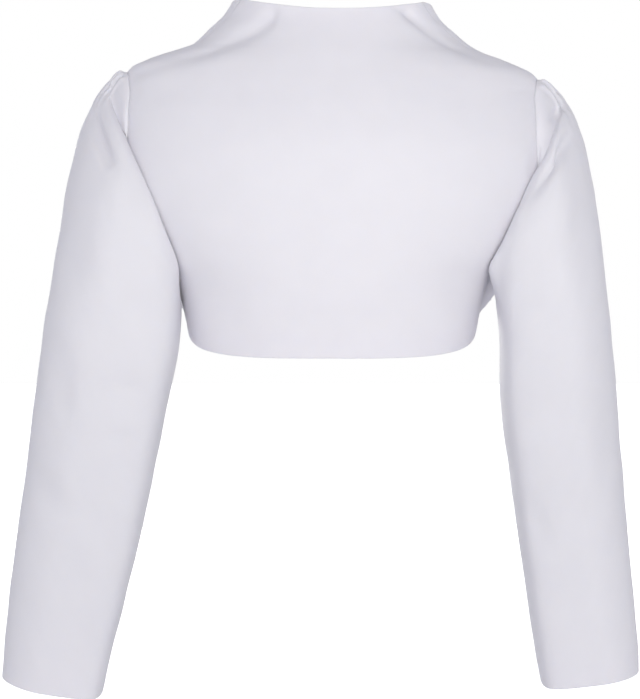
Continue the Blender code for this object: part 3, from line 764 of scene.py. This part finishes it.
def tube(reach, turn, side):
    """Below the underarm: an ellipse square to the arm's line, at reach 2 the top and 3 the cuff.
    Towards its inner back it is a superellipse, where the hanging cloth is pressed flatter."""
    arm = {**ARM[side], "share": np.linspace(0, 1, len(ARM[side]["height"]))}
    at = np.clip(reach - 2, 0, 1)
    steps = (0, ARM_STEP, -ARM_STEP)
    here, ahead, behind = (read(arm, "share", np.clip(at + step, 0, 1)) for step in steps)
    centre = np.stack([here["x"], here["y"], here["height"]], axis=-1)
    down = unit(np.stack([ahead[n] - behind[n] for n in ("x", "y", "height")], axis=-1))
    across = unit(np.cross(down, np.array([0.0, 1.0, 0.0])))
    swing = turn + UNDERARM_TWIST * (1 - np.cos(np.radians(turn))) / 2
    power = 2 / (2 + PRESSED * bump(np.mod(swing, 360) - PRESSED_AT, PRESSED_SPREAD))
    cosine, sine = np.cos(np.radians(swing)), np.sin(np.radians(swing))
    wide = here["half_width"] * np.sign(cosine) * np.abs(cosine) ** power
    deep = here["half_depth"] * np.sign(sine) * np.abs(sine) ** power
    return centre + across * wide[..., None] + np.cross(across, down) * deep[..., None]


def off_the_body(points, reach, side):
    """Pushes points softly out until they clear the figure: log(1 + e to the shortfall)."""
    across = np.linalg.norm(points[..., :2], axis=-1)
    angle = np.degrees(np.arctan2(points[..., 0], points[..., 1]))
    figure = np.linalg.norm(body(angle, points[..., 2], side)[..., :2], axis=-1)
    wanted = figure + CLEAR_OF_BODY * np.clip(reach / CLEAR_REACH, 0, 1)
    push = np.logaddexp(0, (wanted - across) / CLEAR_SOFTNESS) * CLEAR_SOFTNESS
    points = points.copy()
    points[..., :2] *= (1 + push * np.clip(reach / PUSH_REACH, 0, 1) / across)[..., None]
    return points


print("left shoulder tip, in mm:", np.round(1000 * seam(np.zeros(1), LEFT)[0][0]))

# %% The sleeve as one surface
def sleeve_surface(turn, reach, side):
    """Cubics from the seam (reach 0) to the roll (1) and on to the top of the tube (2)."""
    turn, reach = np.broadcast_arrays(turn, reach)
    edge, way_up, out = seam(turn, side)
    roll_x = "left_x" if side == LEFT else "right_x"
    around = {name: smooth_loop(ROLL["turn"], ROLL[name], turn) for name in ROLL}
    roll = np.stack([around[roll_x], around["y"], around["height"]], axis=-1)
    way = unit(np.stack([around["way_x"], around["way_y"], around["way_z"]], axis=-1))
    lift = np.radians(around["lift"])[..., None]
    near = np.linalg.norm(roll - edge, axis=-1, keepdims=True)
    top, below = (tube(np.full(turn.shape, at), turn, side) for at in (2.0, 2.05))
    far = np.linalg.norm(top - roll, axis=-1, keepdims=True)
    leave = (np.cos(lift) * out + np.sin(lift) * way_up) * near
    arrive = unit(below - top) * far * ROLL_DOWN
    t = reach[..., None]
    cap_in = hermite(edge, leave, roll, way * near, np.clip(t, 0, 1))
    cap_out = hermite(roll, way * far * ROLL_OUT, top, arrive, np.clip(t - 1, 0, 1))
    free = np.where(t <= 1, cap_in, np.where(t <= 2, cap_out, tube(reach, turn, side)))
    return off_the_body(free, reach, side)


# %% [markdown]
# ### Gathers and folds of a sleeve
#
# The fullness of the head is eased in with three or four small gathers behind the shoulder tip.
# Below them, soft slanting folds run from the front of the shoulder down to the underarm, and a
# few shallow ones lie inside the elbow and above the cuff. Each list is for the half of the sleeve
# that is seen from behind or for the half that is seen from the front.

# %% Gathers and creases
GATHERS = both_sides("turn spread height", [
    (3.0, 2.0, 0.0021),
    (10.0, 2.2, 0.0034),
    (18.0, 2.4, 0.0030),
    (28.0, 3.0, 0.0016),
], [
    (5.0, 2.6, 0.0014),
    (15.0, 3.0, 0.0026),
    (28.0, 3.2, 0.0020),
])
BEHIND = both_sides(FOLD, [
    (0.224, -0.040, 0.218, -0.066, 0.201, -0.098, 0.0068, -0.0088),
    (0.211, -0.028, 0.205, -0.056, 0.192, -0.086, 0.0050, 0.0020),
    (0.250, -0.120, 0.244, -0.170, 0.236, -0.215, 0.016, -0.0022),
    (0.262, -0.290, 0.254, -0.245, 0.232, -0.210, 0.014, 0.0012),
    (0.256, -0.250, 0.248, -0.290, 0.244, -0.330, 0.012, -0.0022),
    (0.276, -0.370, 0.262, -0.392, 0.252, -0.424, 0.013, -0.0022),
    (0.168, -0.300, 0.182, -0.292, 0.204, -0.300, 0.010, -0.0014),
    (0.172, -0.345, 0.188, -0.338, 0.206, -0.346, 0.010, -0.0012),
    (0.240, -0.500, 0.232, -0.530, 0.230, -0.566, 0.014, -0.0012),
], [
    (0.226, -0.053, 0.210, -0.074, 0.178, -0.122, 0.0072, -0.0080),
    (0.216, -0.046, 0.197, -0.076, 0.176, -0.102, 0.0055, 0.0014),
    (0.219, -0.026, 0.212, -0.033, 0.203, -0.047, 0.0048, -0.0032),
    (0.244, -0.108, 0.232, -0.142, 0.206, -0.168, 0.0110, -0.0026),
    (0.214, -0.180, 0.196, -0.168, 0.180, -0.190, 0.0100, 0.0012),
    (0.178, -0.390, 0.192, -0.420, 0.200, -0.460, 0.0120, -0.0026),
    (0.258, -0.300, 0.250, -0.340, 0.252, -0.380, 0.0140, -0.0014),
    (0.232, -0.470, 0.224, -0.505, 0.222, -0.540, 0.0140, -0.0012),
])
AHEAD = both_sides(FOLD, [
    (0.226, -0.052, 0.206, -0.100, 0.180, -0.142, 0.0080, -0.0032),
    (0.214, -0.046, 0.194, -0.094, 0.172, -0.124, 0.0080, 0.0016),
    (0.256, -0.140, 0.240, -0.180, 0.214, -0.206, 0.0120, -0.0020),
    (0.170, -0.330, 0.200, -0.312, 0.244, -0.330, 0.0090, -0.0030),
    (0.176, -0.366, 0.206, -0.350, 0.240, -0.372, 0.0090, -0.0026),
    (0.270, -0.300, 0.252, -0.330, 0.256, -0.370, 0.0120, 0.0012),
    (0.250, -0.500, 0.240, -0.530, 0.238, -0.560, 0.0140, -0.0012),
], [
    (0.228, -0.058, 0.206, -0.104, 0.178, -0.148, 0.0080, -0.0032),
    (0.214, -0.050, 0.192, -0.100, 0.170, -0.130, 0.0080, 0.0016),
    (0.252, -0.146, 0.236, -0.184, 0.210, -0.212, 0.0120, -0.0020),
    (0.172, -0.336, 0.200, -0.322, 0.238, -0.342, 0.0090, -0.0030),
    (0.180, -0.376, 0.206, -0.358, 0.236, -0.384, 0.0090, -0.0026),
    (0.232, -0.480, 0.226, -0.512, 0.224, -0.544, 0.0140, -0.0012),
])
print("gathers, left and right:", *(len(GATHERS[side]["turn"]) for side in (LEFT, RIGHT)))

# %% Ridges at the sleeve head
GATHERS_FULL, GATHERS_END, GATHERS_FADE = 0.25, 0.60, 0.45  # in reach along the sleeve


def gathers(turn, reach, side):
    """Ridges across the seam: height times a bell of the turn, fading in and out down the arm."""
    fade = np.clip(reach / GATHERS_FULL, 0, 1)
    fade = fade * bump(np.maximum(reach - GATHERS_END, 0), GATHERS_FADE)
    lift = np.zeros(np.broadcast(turn, reach).shape)
    for place, spread, high in zip(*GATHERS[side].values()):
        away = np.mod(turn - place + 180, 360) - 180
        lift = lift + high * bump(away, spread) * fade
    return lift


# %% The places of a sleeve's rows and columns
def sleeve_turns():
    """From the underarm seam (-180) round to it again, closer at the gathers and the seam."""
    near = np.array([0.4, 0.9, 1.6, 2.6, 4.0])
    ahead, gathered = np.linspace(-174, -14, 66), np.linspace(-12, 48, 50)
    behind = np.linspace(50, 174, 54)
    return np.concatenate([[-180], near - 180, ahead, gathered, behind, 180 - near[::-1], [180]])


def sleeve_reaches():
    """Closer together beside the armhole seam, about 2.5 mm apart elsewhere."""
    beside = np.array([0, 0.02, 0.04, 0.07, 0.11])
    head, upper = np.linspace(0.15, 1, 22), np.linspace(1, 2, 66)[1:]
    return np.concatenate([beside, head, upper, np.linspace(2, 3, 138)[1:]])


print("a sleeve has rows, columns:", (len(sleeve_reaches()), len(sleeve_turns())))

# %% A sleeve piece
SLEEVE_WAVER, SLEEVE_WAVER_SIZE = 0.0003, 0.05
SLEEVE_CALM = 0.006  # from the armhole, over which the folds grow to full depth
UNDERARM_CALM = 0.008  # from the underarm seam, where they are weak
SEEN_BEHIND = -0.25, 0.35  # the normal's y over which the folds behind replace those ahead


def make_sleeve(name, side):
    """A tube of cloth from the armhole to the cuff, sewn shut along the underarm."""
    turn, reach = sleeve_turns()[None, :], sleeve_reaches()[:, None]
    plain = sleeve_surface(turn, reach, side)
    way = outward(plain, ring=True)
    x, z = plain[..., 0], plain[..., 2]
    behind = smooth_step(way[..., 1], *SEEN_BEHIND)
    lift = folds(x, z, BEHIND[side], 40 + 20 * side) * behind
    lift = lift + folds(x, z, AHEAD[side], 50 + 20 * side) * (1 - behind)
    down, across = walked(plain, 0), walked(plain, 1)
    lift = lift + gathers(turn, reach, side)
    underarm = np.minimum(across, across[:, -1:] - across)
    lift = lift + SLEEVE_WAVER * waver(x, z, SLEEVE_WAVER_SIZE, 44) * np.clip(reach, 0, 1)
    lift = lift * (1 - 0.8 * bump(underarm, UNDERARM_CALM)) + sewn(down, across, 60 + side)
    lift = lift + sewn(underarm, down, 70 + side)
    outer = plain + way * (lift * smooth_step(down, 0.0, SLEEVE_CALM))[..., None]
    edge, way_up, out = seam(turn, side)
    edge = edge + out * SEAM_GAP / 2
    stitched = [edge - way_up * (BEND + deep) for deep in (*STITCHED[::-1], 0)]
    outer = np.concatenate([*stitched, edge, outer[1:]])
    across, down = walked(outer, 1), walked(outer, 0) - BEND - STITCHED[-1]
    underarm = np.minimum(across, across[:, -1:] - across)
    allowances = pressed_open(np.minimum(down, underarm))
    inside = CLOTH + np.maximum(turned_in(down[-1:] - down, HEM_TURNED), allowances)
    middle = across[:, across.shape[1] * 2 // 3, None]
    uv = np.stack([across - middle, -down], axis=-1)
    return wall(name, outer, thinner(inside, down), uv, side=side, ring=True)


for node_name, side in (("sleeve_left", LEFT), ("sleeve_right", RIGHT)):
    cloth_pieces[node_name] = make_sleeve("satin_" + node_name, side)

# %% [markdown]
# ## White duchess satin
#
# Satin weave lets each warp thread float over several wefts, so the right side is smooth and
# shines softly along the warp. The cloth is dyed a cool white. Its shine is broad, because
# thousands of threads each turn the light a little, and a faint unevenness comes from the heavier
# threads.

# %% Colours and nodes
def linear(colour):
    """An sRGB hex colour as linear light, with full alpha."""
    parts = np.array([int(colour[i : i + 2], 16) for i in (1, 3, 5)]) / 255
    low, high = parts / 12.92, ((parts + 0.055) / 1.055) ** 2.4
    return (*np.where(parts <= 0.04045, low, high), 1.0)


def node(tree, kind, links=(), **settings):
    """Adds a node, sets its properties or inputs by name, and links (input, output) pairs."""
    made = tree.nodes.new(kind)
    for name, value in settings.items():
        if hasattr(made, name):
            setattr(made, name, value)
        else:
            made.inputs[name.replace("_", " ")].default_value = value
    for name, source in links:
        tree.links.new(source, made.inputs[name])
    return made


print("mid grey as linear light:", np.round(linear("#808080"), 3))

# %% The satin
THREAD = 0.0006  # real warp threads lie 0.06 mm apart; drawn ten times as coarse to show
FLOAT = 0.0060  # and a drawn float is as long as ten of them
SLUB_WIDTH, SLUB_LENGTH, HAND = 0.0025, 0.040, 0.030  # heavier threads, and the cloth's waver
FLOAT_DEPTH, SLUB_DEPTH, HAND_DEPTH = 0.000012, 0.000015, 0.00025
SATIN_WHITE, SATIN_SHADE = "#E8E7EE", "#E7E6ED"
FINISH = {
    "Anisotropic": 0.3,
    "Sheen Weight": 0.12,
    "Sheen Roughness": 0.35,
    "IOR": 1.52,
    "Subsurface Weight": 0.40,
    "Subsurface Radius": (1.0, 0.92, 0.82),
    "Subsurface Scale": 0.003,
}


def satin():
    """The cloth's UVs are metres across and along the warp, so each pattern has its real size."""
    material = bpy.data.materials.new("white_duchess_satin")
    material.use_nodes = True
    tree = material.node_tree
    shader = tree.nodes["Principled BSDF"]
    place = node(tree, "ShaderNodeUVMap", uv_map="cloth").outputs["UV"]
    patterns = []
    for width, length, detail in ((THREAD, FLOAT, 2.0), (SLUB_WIDTH, SLUB_LENGTH, 1.0)):
        size = (1 / width, 1 / length, 1.0)
        sized = node(tree, "ShaderNodeMapping", [("Vector", place)], Scale=size).outputs[0]
        noise = node(tree, "ShaderNodeTexNoise", [("Vector", sized)], Scale=1.0, Detail=detail)
        patterns.append(noise.outputs[0])
    floats, slub = patterns
    hand = node(tree, "ShaderNodeTexNoise", [("Vector", place)], Scale=1 / HAND, Detail=1.0)
    hand, below = hand.outputs[0], []
    for pattern, depth in ((hand, HAND_DEPTH), (slub, SLUB_DEPTH), (floats, FLOAT_DEPTH)):
        links = [("Height", pattern), *below]
        relief = node(tree, "ShaderNodeBump", links, Strength=1.0, Distance=depth)
        below = [("Normal", relief.outputs[0])]
    tint = node(tree, "ShaderNodeValToRGB", [("Fac", hand)])
    for end, position, colour in zip(
        tint.color_ramp.elements, (0.35, 0.65), (SATIN_SHADE, SATIN_WHITE)
    ):
        end.position, end.color = position, linear(colour)
    shine = node(tree, "ShaderNodeMapRange", [("Value", slub)], To_Min=0.50, To_Max=0.56)
    tree.links.new(tint.outputs[0], shader.inputs["Base Color"])
    tree.links.new(shine.outputs[0], shader.inputs["Roughness"])
    tree.links.new(relief.outputs[0], shader.inputs["Normal"])
    for name, value in FINISH.items():
        shader.inputs[name].default_value = value
    return material


white_satin = satin()
for piece in cloth_pieces.values():
    piece.data.materials.append(white_satin)
print("satin has", len(white_satin.node_tree.nodes), "nodes")

# %% [markdown]
# ## Each piece in place of its solid
#
# Each piece of cloth replaces its solid and moves with the jacket's one body.

# %% Cloth in place of the solids
for i, (node_name, piece) in enumerate(cloth_pieces.items()):
    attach(piece, "root")
    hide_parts(node_name)
print("pieces:", ", ".join(piece.name for piece in cloth_pieces.values()))

# %% [markdown]
# ## Floor and light
#
# White cloth on white needs little light of its own and soft edges. One large softbox beside the
# camera lights what faces it, so that the form darkens gently towards its sides, and a plain sky
# of pale grey fills the rest. A second softbox does the same for the other side of the jacket.

# %% The floor
FLOOR, FLOOR_RADIUS, FLOOR_SIDES = -0.62, 30.0, 96
FLOOR_GLOW, SKY_STRENGTH = 0.95, 1.25
HORIZON, ZENITH = (0.77, 0.77, 0.81, 1.0), (0.27, 0.27, 0.30, 1.0)


def make_floor():
    """A round pale floor, far wider than the view."""
    turn = np.linspace(0, 2 * np.pi, FLOOR_SIDES, endpoint=False)
    x, y = FLOOR_RADIUS * np.cos(turn), FLOOR_RADIUS * np.sin(turn)
    rim = np.stack([x, y, np.full(FLOOR_SIDES, FLOOR)], axis=-1)
    mesh = bpy.data.meshes.new("floor")
    mesh.from_pydata(rim.tolist(), [], [list(range(len(rim)))])
    floor = bpy.data.objects.new("floor", mesh)
    bpy.context.scene.collection.objects.link(floor)
    return floor


floor = make_floor()
paint = bpy.data.materials.new("white_paper_floor")
paint.use_nodes = True
paper = paint.node_tree.nodes["Principled BSDF"]
paper.inputs["Base Color"].default_value = linear("#F6F6F7")
paper.inputs["Roughness"].default_value = 0.9
paper.inputs["Emission Color"].default_value = (1.0, 1.0, 1.0, 1.0)
seen = node(paint.node_tree, "ShaderNodeLightPath").outputs["Is Camera Ray"]
glow = node(paint.node_tree, "ShaderNodeMath", [(0, seen)], operation="MULTIPLY")
glow.inputs[1].default_value = FLOOR_GLOW
paint.node_tree.links.new(glow.outputs[0], paper.inputs["Emission Strength"])
floor.data.materials.append(paint)
print("the floor reaches", FLOOR_RADIUS, "m out from the jacket")

# %% The sky
def make_sky():
    """White to the camera. As light, a pale grey that dims from the horizon to overhead."""
    world = bpy.data.worlds.new("studio")
    bpy.context.scene.world = world
    world.use_nodes = True
    tree = world.node_tree
    tree.nodes.clear()
    way = node(tree, "ShaderNodeTexCoord").outputs["Generated"]
    height = node(tree, "ShaderNodeSeparateXYZ", [("Vector", way)]).outputs["Z"]
    grey = node(tree, "ShaderNodeValToRGB", [("Fac", height)])
    grey.color_ramp.elements[0].position, grey.color_ramp.elements[0].color = 0.0, HORIZON
    grey.color_ramp.elements[1].position, grey.color_ramp.elements[1].color = 0.8, ZENITH
    dim = node(tree, "ShaderNodeBackground", [("Color", grey.outputs[0])], Strength=SKY_STRENGTH)
    bright = node(tree, "ShaderNodeBackground", Color=(1, 1, 1, 1), Strength=1.0)
    seen = node(tree, "ShaderNodeLightPath").outputs["Is Camera Ray"]
    mix = node(tree, "ShaderNodeMixShader", [("Fac", seen)])
    tree.links.new(dim.outputs[0], mix.inputs[1])
    tree.links.new(bright.outputs[0], mix.inputs[2])
    node(tree, "ShaderNodeOutputWorld", [("Surface", mix.outputs[0])])


make_sky()
print("sky strength:", SKY_STRENGTH)


# %% Two softboxes
AIM = (0.0, 0.0, -0.25)  # the jacket's middle


def softbox(name, place, size, power, colour=(1.0, 0.98, 0.90)):
    """A square area light that faces the jacket's middle."""
    lamp = bpy.data.lights.new(name, "AREA")
    lamp.size, lamp.energy, lamp.color = size, power, colour
    light = bpy.data.objects.new(name, lamp)
    light.location = place
    x, y, z = np.subtract(AIM, place)
    light.rotation_euler = (np.arctan2(np.hypot(x, y), -z), 0, np.arctan2(y, x) - np.pi / 2)
    bpy.context.scene.collection.objects.link(light)
    print(name, "gives", power, "W")


softbox("softbox_behind", (-0.4, 3.6, -0.28), 3.4, 97)
softbox("softbox_ahead", (0.5, -3.4, -0.2), 2.0, 34)
bpy.context.scene.view_settings.view_transform = "Standard"
